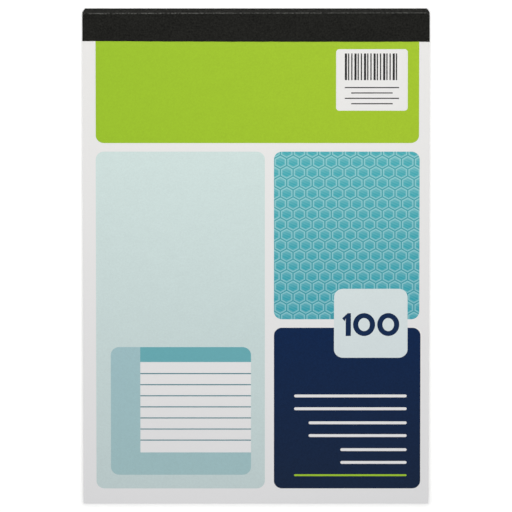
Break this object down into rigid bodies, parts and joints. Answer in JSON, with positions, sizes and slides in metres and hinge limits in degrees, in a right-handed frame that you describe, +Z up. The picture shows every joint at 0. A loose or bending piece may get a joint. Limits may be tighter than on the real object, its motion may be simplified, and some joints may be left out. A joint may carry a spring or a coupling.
{
  "type": "ruled writing pad",
  "caption": "Top-bound pad of ruled sheets with a printed paper cover that turns on its crease, folded black binding tape and a chipboard back.",
  "frame": {"origin": "centre of the outline of the pad, at the surface that it lies on", "axes": "+X across the width, +Y to the bound head, +Z up through the cover"},
  "size_m": [0.1524, 0.229, 0.0071],
  "materials": {
    "page_paper": "matt uncoated writing paper",
    "chipboard": "matt grey chipboard with flecks",
    "cover_card": "smooth satin cover paper",
    "padding_glue": "clear-white padding compound",
    "binding_tape": "black binding tape, matt with a fine grain",
    "rule_ink": "pale blue ruling ink",
    "green_ink": "satin green print",
    "mark_ink": "black print",
    "pale_ink": "satin pale blue-green print",
    "inset_ink": "satin grey-teal print",
    "inset_rule_ink": "satin mid-teal print",
    "teal_ink": "satin teal print",
    "tile_ink": "satin light teal print",
    "navy_ink": "satin navy print",
    "badge_ink": "satin near-white blue print"
  },
  "bodies": {
    "pad": {"page_block": "page_paper", "back_board": "chipboard", "cover_bound_edge": "cover_card", "head_glue": "padding_glue", "binding_tape": "binding_tape", "page_ruling": "rule_ink"},
    "cover": {"front_cover": "cover_card", "header_print": "green_ink", "label_marks_print": "mark_ink", "tall_panel_print": "pale_ink", "inset_print": "inset_ink", "inset_rules_print": "inset_rule_ink", "pattern_print": "teal_ink", "pattern_tiles_print": "tile_ink", "navy_print": "navy_ink", "navy_foot_line_print": "green_ink", "badge_print": "badge_ink"}
  },
  "joints": [
    {"name": "cover_hinge", "type": "hinge", "parent": "pad", "child": "cover", "pos_m": [0, 0.10143, 0.00715], "axis": [-1, 0, 0], "range_deg": [0, 178]}
  ]
}
